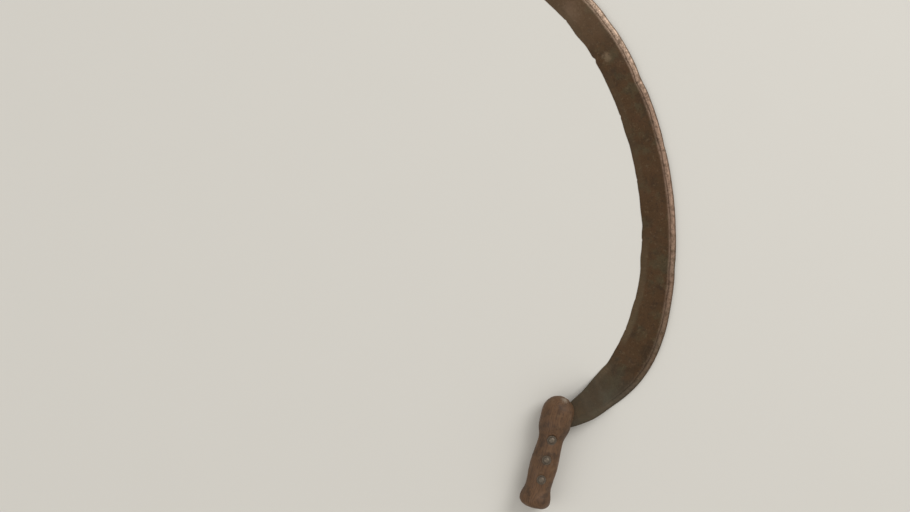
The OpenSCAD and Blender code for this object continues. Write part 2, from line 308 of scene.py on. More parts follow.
    # the plate leaves the head high up, is cranked down to the floor and takes on the blade's section
    crankStart = given["Crank Start"]
    crankEnd = node(maths, (crankStart, given["Crank Length"]))
    riseEnd = node(maths, (crankEnd, given["Rib Rise Length"]))
    lift = node(ramp, (along, crankStart, crankEnd, given["Crank Height"], 0), eased)
    formed = node(ramp, (along, crankStart, riseEnd), eased)

    # the skin: columns of points stand on the stations, with a closing column at each end
    topRows = bladeMesh["top"]
    underRows = bladeMesh["under"]
    rows = topRows + underRows + 2
    columns = stations + 2
    line = node("GeometryNodeMeshLine", {"Count": stations})
    grid = node("GeometryNodeMeshGrid", {"Vertices X": columns, "Vertices Y": rows})
    column = node(maths, (node(maths, (index, rows), "DIVIDE"),), "FLOOR")
    row = node(maths, (index, rows), "MODULO")
    row = node(maths, (row, rows - 1), "MODULO")
    station = node(maths, (column, 1), minus)
    station = node("ShaderNodeClamp", (station, 0, stations - 1))
    backAt, edgeAt, liftAt, formedAt, alongAt = [
        node(sampled, {"Geometry": line, "Value": value, "Index": station}, told)
        for value, told in [(corner, "FLOAT_VECTOR") for corner in corners]
        + [(value, "FLOAT") for value in (lift, formed, along)]]
    acrossVector = node(vectors, (edgeAt, backAt), minus)
    w = node(vectors, (acrossVector,), "LENGTH")
    direction = node(vectors, (acrossVector,), "NORMALIZE")

    # the section's sizes shrink with the width near the point, and rib and bevel wander
    share = node(ramp, (w, 0, form["fullSection"]))
    ribWave = node(maths, (alongAt, 1 / form["ribWave"]), times)
    bevelWave = node(maths, (alongAt, 1 / form["bevelWave"], 5), timesPlus)
    ribWave, bevelWave = [node(clouds, {"W": wave, "Scale": 1, "Detail": 2}, "1D")
                          for wave in (ribWave, bevelWave)]
    ribLoss = node(ramp, (ribWave, 0.3, 0.75, 0, given["Rib Wander"]))
    rib = node(maths, (given["Rib Width"], ribLoss), minus)
    bevel = node(ramp, (bevelWave, 0.3, 0.7, form["narrowBevel"], given["Bevel Width"]))
    rib, bevel = [node(maths, (full, node(maths, (w, form[name]), times)), "MINIMUM")
                  for full, name in ((rib, "ribShare"), (bevel, "bevelShare"))]
    edge = given["Edge Thickness"]
    web, webEdge = [node(mixer, {0: share, 2: node(maths, (edge, more)), 3: given[name + " Thickness"]})
                    for more, name in ((0.4, "Web"), (0.3, "Web Edge"))]
    crown = node(mixer, {0: share, 2: node(maths, (web, 0.5)), 3: given["Rib Height"]})
    foot = node(maths, (given["Rib Side Height"], web), "MINIMUM")

    # how far across each row lies: close together on the rib, wide on the web, close on the bevel
    topShare = node(maths, (row, topRows), "DIVIDE")
    bevelStart = node(maths, (w, bevel), minus)
    flat = node(maths, (bevelStart, rib), minus)
    across = 0.0
    ribRows, webRows = form["ribRows"], form["webRows"]
    for low, high, span, told in ((0, ribRows, rib, eased), (ribRows, webRows, flat, "LINEAR"),
                                  (webRows, 1, bevel, "LINEAR")):
        part = node(ramp, (topShare, low, high, 0, span), told)
        across = node(maths, (part, across))
    underShare = node(ramp, (row, topRows + 1, topRows + underRows))
    underEnd = node(maths, (node(maths, (rib, form["underInset"]), times), formedAt), times)
    underAcross = node(mixer, {0: underShare, 2: w, 3: underEnd})
    isUnder = node(maths, (row, topRows + 0.5), "GREATER_THAN")
    across = node(mixer, {0: isUnder, 2: across, 3: underAcross})

    # the upper face: the rib's crown, the web behind it and the bevel's slope
    half = node(maths, (rib, 0.5), times)
    fromCrown = node(maths, (node(maths, (across, half), minus), half), "DIVIDE")
    arch = node(maths, (node(maths, (fromCrown,), "ABSOLUTE"), form["crownPower"]), "POWER")
    arch = node(maths, (node(maths, (1, arch), minus), 0), "MAXIMUM")
    arch = node(maths, (arch, form["crownFlat"]), "POWER")
    arch = node(mixer, {0: arch, 2: foot, 3: crown})
    webLine = node(ramp, (across, rib, bevelStart, web, webEdge))
    pastCrown = node(maths, (across, half), "GREATER_THAN")
    webLine = node(maths, (webLine, pastCrown), times)
    face = node(maths, (arch, webLine, 0.5), "SMOOTH_MAX")
    fromEdge = node(maths, (w, across), minus)
    slope = node(maths, (node(maths, (webEdge, edge), minus), bevel), "DIVIDE")
    bevelLine = node(maths, (fromEdge, slope, edge), timesPlus)
    face = node(maths, (face, bevelLine, 0.15), "SMOOTH_MIN")
    face = node(mixer, {0: formedAt, 2: given["Plate Thickness"], 3: face})

    # the hammer's marks sink into the web, less into the rib and hardly into the bevel
    flatPlace = node(vectors, {0: direction, "Scale": across}, "SCALE")
    flatPlace = node(vectors, (backAt, flatPlace))
    marks = node("ShaderNodeTexVoronoi", {"Vector": flatPlace, "Scale": 1 / form["hammerMark"],
                                          "Smoothness": 0.6}, feature="SMOOTH_F1")
    swellings = node(clouds, {"Vector": flatPlace, "Scale": 1 / form["hammerSwell"], "Detail": 3})
    depth = node(ramp, (marks, 0.1, 0.75, form["marksDeep"], 0))
    swellings = node(ramp, (swellings, 0.35, 0.65, 0, form["swellsDeep"]))
    depth = node(maths, (depth, swellings))
    ribbed = node(ramp, (across, half, rib, form["ribDeep"], 1))
    ground = node(ramp, (fromEdge, 1, 8, form["edgeDeep"], 1))
    for factor in (ribbed, ground, given["Hammer Depth"], formedAt):
        depth = node(maths, (depth, factor), times)
    height = node(maths, (face, depth), minus)
    underDepth = node(maths, (depth, form["underDeep"]), times)
    height = node(mixer, {0: isUnder, 2: height, 3: underDepth})

    # both end columns shrink to one point inside the section, which closes the skin
    firstColumn = node(maths, (column, 0.5), "LESS_THAN")
    lastColumn = node(maths, (column, columns - 1.5), "GREATER_THAN")
    closing = node(maths, (firstColumn, lastColumn))
    centre = node(mixer, {0: formedAt, 2: form["tangMiddle"], 3: form["pointMiddle"]})
    reach = node(mixer, {0: closing, 2: across, 3: node(maths, (w, 0.5), times)})
    height = node(mixer, {0: closing, 2: height, 3: centre})
    sideways = node(vectors, {0: direction, "Scale": reach}, "SCALE")
    upwards = node(combine, {"Z": node(maths, (height, liftAt))})
    place = node(vectors, (backAt, sideways))
    place = node(vectors, (place, upwards))
    skin = node("GeometryNodeSetPosition", {"Geometry": grid, "Position": place})
    for name, value in (("along", alongAt), ("across", across), ("fromEdge", fromEdge)):
        skin = node("GeometryNodeStoreNamedAttribute", {"Geometry": skin, "Name": name, "Value": value})
    closed = node("GeometryNodeMergeByDistance", {"Geometry": skin, "Distance": 0.004})
    endTree(node, given, inFrame(node, closed))
    return tree


# materials

def newMaterial(name):
    material = bpy.data.materials.new(name)
    material.use_nodes = True
    material.node_tree.nodes.clear()
    node = partial(add, material.node_tree)
    coordinates = node("ShaderNodeTexCoord").outputs["Object"]
    place = node(vectors, {0: coordinates, "Scale": 1 / mm}, "SCALE")  # millimetres
    return material, node, place


def endMaterial(node, surface):
    node("ShaderNodeOutputMaterial", {"Surface": node("ShaderNodeBsdfPrincipled", surface)})


def coat(node, colour, layers):
    # lays colours over one another: a mask and a shade each, a hex value or a node
    for mask, shade in layers:
        shade = linear(shade) if isinstance(shade, str) else shade
        colour = node(mixer, {0: mask, 6: colour, 7: shade}, "RGBA")
    return colour


def patches(node, place, colour, layers):
    # lays blotches over a colour: shade, size in mm, noise level where it starts and is full, share
    masks = []
    for n, (shade, size, low, high, share) in enumerate(layers):
        cloud = node(clouds, {"Vector": place, "W": 3.1 * n, "Scale": 1 / size, "Detail": 5,
                              "Roughness": 0.62}, "4D")
        masks.append((node(ramp, (cloud, low, high, 0, share), eased), shade))
    return coat(node, colour, masks)


iron = {
    "base": "#4A3520", "heel": "#454034", "upper": "#6B5743",
    "blotches": [("#302518", 38, 0.47, 0.64, 0.6), ("#513824", 24, 0.5, 0.64, 0.42),
                 ("#4A4733", 17, 0.5, 0.64, 0.42), ("#2C2117", 6, 0.52, 0.66, 0.42),
                 ("#675640", 4.2, 0.56, 0.68, 0.42), ("#281D14", 1.9, 0.55, 0.64, 0.42),
                 ("#644A31", 2.6, 0.58, 0.66, 0.34)],
    # single patches: place in the frame in mm, radius, colour, share; the first is painted light, greyer
    # and paler where the crank's bend faces the lamp, the second is painted light over the shade that the
    # head casts on the heel, the last two are pale spots of the skin
    "places": [((47.7, -195.3, 4), 15, "#4E4B3E", 0.5), ((12, -212, 20), 12, "#5A4631", 0.5),
               ((46.6, 195.7, 2), 6.5, "#806C56", 0.7), ((4, 247, 2), 17, "#77624F", 0.45)],
    # stretches of the bevel that the stone hardly touched: place along the back, half length
    "unground": [(100, 34), (295, 48), (500, 42)],
    # stretches of the back over which the look changes; over "brighter" the rib's rubbed band and its
    # painted highlight fade out towards the heel, as painted shade
    "palerFrom": (510, 630), "greyerTo": (90, 190), "brighter": (30, 300), "fewerFlecks": (40, 240),
    "lessGround": (140, 340), "groundFrom": (40, 78), "ribUpper": (430, 510), "ribHeel": (80, 180),
    # bands where wear and the rib's painted highlight fade: across the rib, its outer side, the flecks,
    # and inwards from the edge
    "ribBand": (7.2, 11.2), "offSide": (0.3, 3), "fleckBand": (2, 11), "bevelBand": (6.5, 11),
    # the rib's colours: rubbed iron with painted light over it, darker as painted shade at the heel,
    # paler as a painted highlight on the upper stretch
    "ribRubbedShadedHeel": "#857767", "ribRubbedLit": "#9A806E", "ribRubbedLitUpper": "#BCA38F",
    "ground": "#524536", "scratch": "#66573F",
    # the skin's broken outlines, slow changes of tone, bright flecks and fine grain: size in mm,
    # detail and roughness of the noise
    "noises": [(4.5, 4, 0.65), (26, 4, 0.5), (2.6, 3, 0.5), (1.1, 4, 0.6)],
    "stoneLines": (0.06, 1.6), "rubLines": (1.1, 0.05),  # to the millimetre, across and along
}


def forgedIron():
    # wrought iron with a steel edge, hammered hot and browned by years of rust and oil:
    # a dull brown oxide skin, rubbed iron along the rib with a painted highlight over it,
    # a greyer ground bevel, and two patches of painted light near the heel
    material, node, place = newMaterial("wroughtIronHammeredBrown")
    along, across, fromEdge = [node("ShaderNodeAttribute", attribute_name=n).outputs["Fac"]
                               for n in ("along", "across", "fromEdge")]
    breakUp, drift, flecks, grain = [
        node(clouds, {"Vector": place, "Scale": 1 / size, "Detail": detail, "Roughness": rough})
        for size, detail, rough in iron["noises"]]
    # towards the point the blade is paler
    drift = node(maths, (drift, 120, along), timesPlus)
    upper = node(ramp, (drift, *iron["palerFrom"], 0, 0.36), eased)
    heel = node(ramp, (drift, *iron["greyerTo"], 0.6, 0), eased)
    layers = [(upper, iron["upper"]), (heel, iron["heel"])]
    # the single patches, the first two of them painted light near the heel
    for centre, radius, shade, share in iron["places"]:
        away = node(vectors, (place, centre), "DISTANCE")
        ragged = node(maths, (breakUp, radius * 2, away), timesPlus)
        mask = node(ramp, (ragged, radius * 0.8, radius * 2.2, share, 0), eased)
        layers.append((mask, shade))

    # the rib is rubbed bright, in flecks near the heel too, and it is painted lighter still as a
    # highlight that grows along the upper stretch and fades into painted shade towards the heel
    ragAcross = node(maths, (breakUp, 2.4, across), timesPlus)
    ribRubAndHighlight = node(ramp, (ragAcross, *iron["ribBand"], 1, 0), eased)
    offSide = node(ramp, (across, *iron["offSide"], 0.25, 1))
    # painted shade: the rib's bright band is dimmed towards the heel
    paintedLightAlong = node(ramp, (along, *iron["brighter"], 0.06, 1))
    rubbed = node(ramp, (breakUp, 0.36, 0.56, 0.35, 1))
    for factor in (offSide, paintedLightAlong, rubbed):
        ribRubAndHighlight = node(maths, (ribRubAndHighlight, factor), times)
    flecks = node(ramp, (flecks, 0.6, 0.68))
    nearRib = node(ramp, (across, *iron["fleckBand"], 0.8, 0))
    fewer = node(ramp, (along, *iron["fewerFlecks"], 0.1, 1))
    for factor in (nearRib, fewer):
        flecks = node(maths, (flecks, factor), times)
    ribRubAndHighlight = node(maths, (ribRubAndHighlight, flecks), "MAXIMUM")

    # the stone ground the bevel, more towards the heel and hardly in some stretches
    edgeNoise = node(maths, (breakUp, 3.0, fromEdge), timesPlus)
    bevelWear = node(ramp, (edgeNoise, *iron["bevelBand"], 1, 0), eased)
    ground = node(ramp, (along, *iron["lessGround"], 0.7, 0.3))
    pastCrank = node(ramp, (along, *iron["groundFrom"]))
    ground = node(maths, (ground, pastCrank), times)
    for at, half in iron["unground"]:
        off = node(maths, (along, at), minus)
        off = node(maths, (off,), "ABSOLUTE")
        touched = node(ramp, (off, half * 0.3, half, 0.1, 1), eased)
        ground = node(maths, (ground, touched), times)
    bevelWear = node(maths, (bevelWear, ground), times)
    # the rib's colour runs from painted shade at the heel to a painted highlight on the upper stretch
    ribUpper, pastHeel = [node(ramp, (along, *iron[name])) for name in ("ribUpper", "ribHeel")]
    rubbedAndLitRib = coat(node, linear(iron["ribRubbedLit"]), [(ribUpper, iron["ribRubbedLitUpper"])])
    rubbedAndLitRib = coat(node, linear(iron["ribRubbedShadedHeel"]), [(pastHeel, rubbedAndLitRib)])

    # stone lines run across the bevel, 0.6 mm apart, coarser than real ones so that they show;
    # scratches of use run along the blade
    strip, rubs = [node(combine, [node(maths, pair, times) for pair in ((across, c), (along, a))])
                   for c, a in (iron["stoneLines"], iron["rubLines"])]
    stone = node(clouds, {"Vector": strip, "Scale": 1, "Detail": 1})
    stone = node(ramp, (stone, 0.35, 0.65, 0, 1.6))
    stoneLines = node(maths, (stone, bevelWear), times)
    lit = node(maths, (stoneLines, 0.3), times)
    scratch = node(clouds, {"Vector": rubs, "Scale": 1, "Detail": 4, "Roughness": 0.7})
    scratchMask = node(ramp, (scratch, 0.6, 0.72, 0, 0.3))
    layers += [(bevelWear, iron["ground"]), (ribRubAndHighlight, rubbedAndLitRib),
               (lit, iron["scratch"]), (scratchMask, iron["scratch"])]
    colour = coat(node, patches(node, place, linear(iron["base"]), iron["blotches"]), layers)

    wear = node(maths, (ribRubAndHighlight, bevelWear), "MAXIMUM")
    metal = node(ramp, (wear, 0, 1, 0.45, 0.95))
    dull = node(ramp, (grain, 0.3, 0.7, 0.56, 0.74))
    rough = node(mixer, {0: wear, 2: dull, 3: 0.4})
    pits = node(ramp, (grain, 0.34, 0.5, 0, 1))
    kept = node(maths, (1, bevelWear), minus)  # grinding takes the pits away
    pits = node(maths, (pits, kept), times)
    relief = node(maths, (pits, 0.8, stoneLines), timesPlus)
    relief = node(maths, (breakUp, 2.2, relief), timesPlus)
    bump = node("ShaderNodeBump", {"Height": relief, "Strength": 0.7, "Distance": 0.2 * mm})
    endMaterial(node, {"Base Color": colour, "Metallic": metal, "Roughness": rough, "Normal": bump,
                       "Specular IOR Level": 0.25})  # a dusty, porous oxide skin
    return material


wood = {
    "base": "#62462E", "late": "#442E1C", "pore": "#2F2217",
    # grime of use in broad clouds, and rubbed lighter spots
    "blotches": [("#2F2217", 17, 0.47, 0.66, 0.62), ("#765C42", 9, 0.54, 0.7, 0.4),
                 ("#6E675A", 6, 0.6, 0.72, 0.3)],
    # a painted highlight, a pale spot at the head's upper right that stands for a glint: place from the
    # head's middle in mm, radius, colour, share
    "paintedGlint": ((6.8, 14.4, 8.6), 5.7, "#968979", 0.75),
    "heart": (0, 9, -27),  # how far the tree's heart lies beside the handle
    "ringWidth": 2.6, "ringWaves": 14, "latheMark": 0.9, "cloud": 12,
    # how close the rings, their waves, the pores and the spot's outline lie, along the grain and
    # twice across it; detail and roughness of the noise
    "rings": (0.06, 1, 1),
    "noises": [((0.018, 0.11, 0.11), 3, 0.5), ((0.16, 1.6, 1.6), 2, 0.5), ((0.25, 0.9, 0.9), 4, 0.65)],
}


def oiledWood():
    # turned hardwood, oiled and handled for years: rings and pores drawn out along the grain,
    # hollows darkened by use, a soft polish where it is held
    material, node, place = newMaterial("turnedHardwoodOiled")
    centre = Vector((-middle[0], -middle[1], handleSizes["axisHeight"]))
    rotated = Matrix.Rotation(-handleTurn, 4, "Z") @ centre
    axis = node("ShaderNodeMapping", {"Vector": place, "Rotation": (0, 0, -handleTurn),
                                      "Location": tuple(-c for c in rotated)}, vector_type="POINT")
    # rings of the tree: the heart lies beside the handle, so the rings run as long flames;
    # pores are short dark dashes along the grain
    warp, pore, ragged = [
        node(clouds, {"Vector": node(vectors, (axis, stretch), times), "Scale": 1, "Detail": detail,
                      "Roughness": rough}) for stretch, detail, rough in wood["noises"]]
    bowed = node(vectors, (axis, wood["heart"]))
    flattened = node(vectors, (bowed, wood["rings"]), times)
    flatRadius = node(vectors, (flattened,), "LENGTH")
    radius = node(maths, (warp, wood["ringWaves"], flatRadius), timesPlus)
    ring = node(maths, (radius, wood["ringWidth"]), "DIVIDE")
    ring = node(maths, (ring,), "FRACT")
    late = node(ramp, (ring, 0.35, 0.95, 0, 0.55), eased)
    ringEnd = node(ramp, (ring, 0.95, 1, 1, 0))
    late = node(maths, (late, ringEnd), times)
    poreMask = node(ramp, (pore, 0.58, 0.7, 0, 0.75))
    colour = coat(node, linear(wood["base"]), [(late, wood["late"]), (poreMask, wood["pore"])])
    colour = patches(node, place, colour, wood["blotches"])
    # painted highlight: a pale spot on the head's upper right stands for a glint
    spot, size, shade, share = wood["paintedGlint"]
    spot = (spot[0] - middle[0], spot[1] - middle[1], spot[2] + handleSizes["axisHeight"])
    away = node(vectors, (place, spot), "DISTANCE")
    away = node(maths, (ragged, 2.4 * size, away), timesPlus)
    paintedGlint = node(ramp, (away, 1.1 * size, 2.3 * size, share, 0), eased)
    colour = coat(node, colour, [(paintedGlint, shade)])
    # the lathe's tool left faint rings
    along = node("ShaderNodeSeparateXYZ", (axis,))
    lathe = node(maths, (along, 2 * pi / wood["latheMark"]), times)
    lathe = node(maths, (lathe,), "SINE")
    cloud = node(clouds, {"Vector": place, "Scale": 1 / wood["cloud"], "Detail": 4})
    rough = node(ramp, (cloud, 0.35, 0.65, 0.48, 0.66))
    relief = node(maths, (lathe, 0.06), times)
    for height, factor in ((poreMask, -0.8), (cloud, 2)):
        relief = node(maths, (height, factor, relief), timesPlus)
    bump = node("ShaderNodeBump", {"Height": relief, "Strength": 0.5, "Distance": 0.12 * mm})
    endMaterial(node, {"Base Color": colour, "Roughness": rough, "Normal": bump, "IOR": 1.48,
                       "Specular IOR Level": 0.35})  # oil soaked in, not a film of varnish
    return material


def hammeredIron(name, look):
    # small iron parts: the rivets' struck heads and the punched burrs under them,
    # dark in their hollows and rubbed brighter on top
    material, node, place = newMaterial(name)
    facing = node("ShaderNodeSeparateXYZ", (node("ShaderNodeNewGeometry").outputs["Normal"],))
    facing = node(maths, (facing.outputs["Z"],), "ABSOLUTE")
    grain = node(clouds, {"Vector": place, "Scale": 1 / look["grain"], "Detail": 4, "Roughness": 0.6})
    rub = node(maths, (facing, grain), times)
    wear = node(ramp, (rub, 0.36, 0.62, 0, 0.7))
    colour = patches(node, place, linear(look["base"]), look["blotches"])
    colour = coat(node, colour, [(wear, look["bright"])])
    metal = node(ramp, (wear, 0, 1, 0.5, 0.95))
    rough = node(ramp, (wear, 0, 1, look["roughness"] + 0.12, look["roughness"] - 0.08))
    bump = node("ShaderNodeBump", {"Height": grain, "Strength": 0.5, "Distance": 0.12 * mm})
    endMaterial(node, {"Base Color": colour, "Metallic": metal, "Roughness": rough, "Normal": bump})
    return material


# camera, floor and light

studio = {
    "lens": 50, "cameraPlace": (-0.1282, -0.0343, 1.456),
    "floor": "#DAD7D0", "floorCloud": "#C9C5BC", "floorHalf": 4.0, "cloudSize": 90,
    "sky": 0.62, "seenSky": 0.8, "skyColour": "#F1EFEB",
    # power, width and place of each lamp, in watts and metres
    "lamps": {"key": (88, 2.4, (2.3, 2.0, 2.9)), "fill": (22, 2.6, (-2.6, -0.8, 2.8))},
}


def setStudio():
    scene = bpy.context.scene
    scene.view_settings.view_transform = "Standard"
    camera = newObject("camera", bpy.data.cameras.new("camera"))
    camera.data.lens = studio["lens"]
    camera.location = studio["cameraPlace"]
    scene.camera = camera

    half = studio["floorHalf"]
    mesh = bpy.data.meshes.new("floor")
    mesh.from_pydata([(x * half, y * half, 0) for x, y in ((-1, -1), (1, -1), (1, 1), (-1, 1))],
                     [], [(0, 1, 2, 3)])
    floor = newObject("floor", mesh)
    material, node, place = newMaterial("paintedBoardMatt")  # smooth matt board, quite even
    tint = node(clouds, {"Vector": place, "Scale": 1 / studio["cloudSize"], "Detail": 2})
    mask = node(ramp, (tint, 0, 1, 0, 0.06))
    colour = coat(node, linear(studio["floor"]), [(mask, studio["floorCloud"])])
    endMaterial(node, {"Base Color": colour, "Roughness": 0.85, "Specular IOR Level": 0.2})
    mesh.materials.append(material)

    world = bpy.data.worlds.new("studio")
    scene.world = world
    world.use_nodes = True
    world.node_tree.nodes.clear()
    node = partial(add, world.node_tree)
    rays = node("ShaderNodeLightPath").outputs
    eye = node(maths, (rays["Is Camera Ray"], rays["Is Glossy Ray"]), "MAXIMUM")
    eye = node(maths, (eye, rays["Is Transmission Ray"]), "MAXIMUM")
    strength = node(ramp, (eye, 0, 1, studio["sky"], studio["seenSky"]))
    back = node("ShaderNodeBackground", {"Color": linear(studio["skyColour"]), "Strength": strength})
    node("ShaderNodeOutputWorld", {"Surface": back})

    # one broad lamp from the upper right, and a weaker one from the left
    for name, (power, size, spot) in studio["lamps"].items():
        lamp = newObject(name, bpy.data.lights.new(name, "AREA"))
        lamp.data.energy = power
        lamp.data.size = size
        lamp.location = spot
        lamp.rotation_euler = (-Vector(spot)).to_track_quat("-Z", "Y").to_euler()


setStudio()
print("studio set")


# blade

blade = grow("bladeForged", forgedBladeTree(), bladeSizes, forgedIron())
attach(blade, "root")
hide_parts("blade")
print("blade forged")


# handle

latheSizes = {"Segments": 180}


def latheTree():
    # turns an outline of radius (x) and height (z) about the upright axis
    tree, node, given = newTree("turnedOnLathe", latheSizes)
    count = node("GeometryNodeAttributeDomainSize", {"Geometry": given["Geometry"]}, component="MESH")
    rows = node(maths, (given["Segments"], 1))
    grid = node("GeometryNodeMeshGrid", {"Vertices X": count.outputs["Point Count"], "Vertices Y": rows})
    index = node("GeometryNodeInputIndex")
    column = node(maths, (node(maths, (index, rows), "DIVIDE"),), "FLOOR")
    row = node(maths, (index, rows), "MODULO")
    row = node(maths, (row, given["Segments"]), "MODULO")
    angle = node(maths, (node(maths, (row, given["Segments"]), "DIVIDE"), 2 * pi), times)
    outline = node(sampled, {"Geometry": given["Geometry"], "Index": column,
                             "Value": node("GeometryNodeInputPosition")}, "FLOAT_VECTOR")
    spun = node("ShaderNodeVectorRotate", {"Vector": outline, "Angle": angle}, rotation_type="Z_AXIS")
    shape = node("GeometryNodeSetPosition", {"Geometry": grid, "Position": spun})
    closed = node("GeometryNodeMergeByDistance", {"Geometry": shape, "Distance": 0.0005})
    endTree(node, given, closed)
    return tree


turning = latheTree()


def turnedBlank(name, outline, sizes, material):
    # outline is a list of radius and height
    mesh = bpy.data.meshes.new(name + "Outline")
    mesh.from_pydata([(r, 0, z) for r, z in outline], [(i, i + 1) for i in range(len(outline) - 1)], [])
    return grow(name, turning, sizes, material, mesh)


handleMesh = {"domeRows": 24, "rowLength": 1.2, "leastRows": 6, "pommelRows": 12}
headRadius = handleSizes["headRadius"]
swells = [(headRadius + handleSizes["headSide"], headRadius)] + handleSizes["swells"]


def arc(rows):
    # the angles of a quarter turn in equal steps
    return [quarterTurn * i / rows for i in range(rows + 1)]


def handleOutline():
    # the domed head, its straight side, the swells and the pommel: distance from the tip, radius
    points = [(headRadius * (1 - cos(g)), headRadius * sin(g)) for g in arc(handleMesh["domeRows"])]
    for n, ((t0, r0), (t1, r1)) in enumerate(zip(swells, swells[1:])):
        count = max(handleMesh["leastRows"], round((t1 - t0) / handleMesh["rowLength"]))
        points += [(t0 + (t1 - t0) * j / count, r0 + (r1 - r0) * ease(j / count))
                   for j in range(1 if n else 0, count + 1)]
    start, last = swells[-1]
    depth = handleSizes["length"] - start
    left = handleSizes["pommelEnd"]
    points += [(start + depth * sin(g), last * (left + (1 - left) * cos(g)))
               for g in arc(handleMesh["pommelRows"])[1:]]
    return points + [(handleSizes["length"], 0)]


def radiusAt(t):
    for (t0, r0), (t1, r1) in zip(swells, swells[1:]):
        if t <= t1:
            return r0 + (r1 - r0) * ease((t - t0) / (t1 - t0))


rivet = {"first": 50, "pitch": 23, "shank": 2.2, "headRadius": 4, "headHeight": 2, "endHeight": 1.6,
         "burrRadius": 5.4, "burrThickness": 1, "pocketClear": 0.3, "pocketDepth": 0.3,
         "holeClear": 0.1, "rim": 0.22, "arcRows": 14}
rivetTs = [rivet["first"] + i * rivet["pitch"] for i in range(3)]  # distances from the tip
rivetPlaces = [onHandle(headRadius - t, 0) for t in rivetTs]
holeRadius = rivet["shank"] + rivet["holeClear"]
pocketRadius = rivet["burrRadius"] + rivet["pocketClear"]
# heights of the burrs' seats above and below the axis
seats = [sqrt(radiusAt(t) ** 2 - pocketRadius ** 2) - rivet["pocketDepth"] for t in rivetTs]


def prism(name, outline, low, high):
    # a flat outline drawn up into a solid, in millimetres from the head's middle
    shell = bmesh.new()
    lower, upper = [[shell.verts.new((x, y, z)) for x, y in outline] for z in (low, high)]
    shell.faces.new(lower[::-1])
    shell.faces.new(upper)
    for i, j in enumerate([*range(1, len(outline)), 0]):
        shell.faces.new([lower[i], lower[j], upper[j], upper[i]])
    shell.transform(toFrame())
    bmesh.ops.recalc_face_normals(shell, faces=shell.faces)
    mesh = bpy.data.meshes.new(name)
    shell.to_mesh(mesh)
    shell.free()
    return newObject(name, mesh)


def circle(centre, radius, count=48):
    turns = [2 * pi * i / count for i in range(count)]
    return [(centre[0] + radius * cos(g), centre[1] + radius * sin(g)) for g in turns]


slot = {"clear": 0.2, "pastTip": 26, "pastSide": 30, "curveSteps": 12}
handleWear = {
    "voxel": 0.56, "rounds": 3,  # fineness of the mesh, and how far its cut edges are rubbed round
    # mm from the turned surface: where points go back onto it, over how far less and less so,
    # and where a cut begins
    "snapFrom": 0.12, "snapOver": 0.2, "cutGap": 0.14, "cutRings": 3, "cutRounds": 14,
    # hollows and knocks: size in mm, noise level where they start, depth, shift of the noise
    "marks": [(11, 0, 0.55, (3, 1, 7)), (3.5, 0.25, 0.35, (0, 0, 0))], "skin": 0.03,
}


def slotOutline():
    # the tang's outline, open to the right side and to the head's end
    clear = slot["clear"]
    shoulder, corner = onHandle(*tang["shoulder"]), backStart
    bezier = [shoulder, shoulder + tang["pulls"][0] * onHandle(1, 0),
              corner - tang["heelPull"] * heelForward, corner]
    lower = []
    for i in range(slot["curveSteps"] + 1):
        t = i / slot["curveSteps"]
        point = sum((k * (1 - t) ** (3 - n) * t ** n * bezier[n]
                     for n, k in enumerate((1, 3, 3, 1))), Vector())
        lower.append(point + clear * Vector((heelForward.y, -heelForward.x, 0)))
    (endA, endC), (shoulderA, shoulderC) = tang["end"], tang["shoulder"]
    tip, side = slot["pastTip"], slot["pastSide"]
    outline = [onHandle(a, c) for a, c in (
        (endA - clear, -endC - clear), (shoulderA, -shoulderC - clear), (tip, -shoulderC - clear),
        (tip, side), (tang["heel"][0], side))]
    outline += lower[:0:-1]
    outline += [onHandle(shoulderA - clear, shoulderC + clear), onHandle(endA - clear, endC + clear)]
    return [(point.x, point.y) for point in outline]


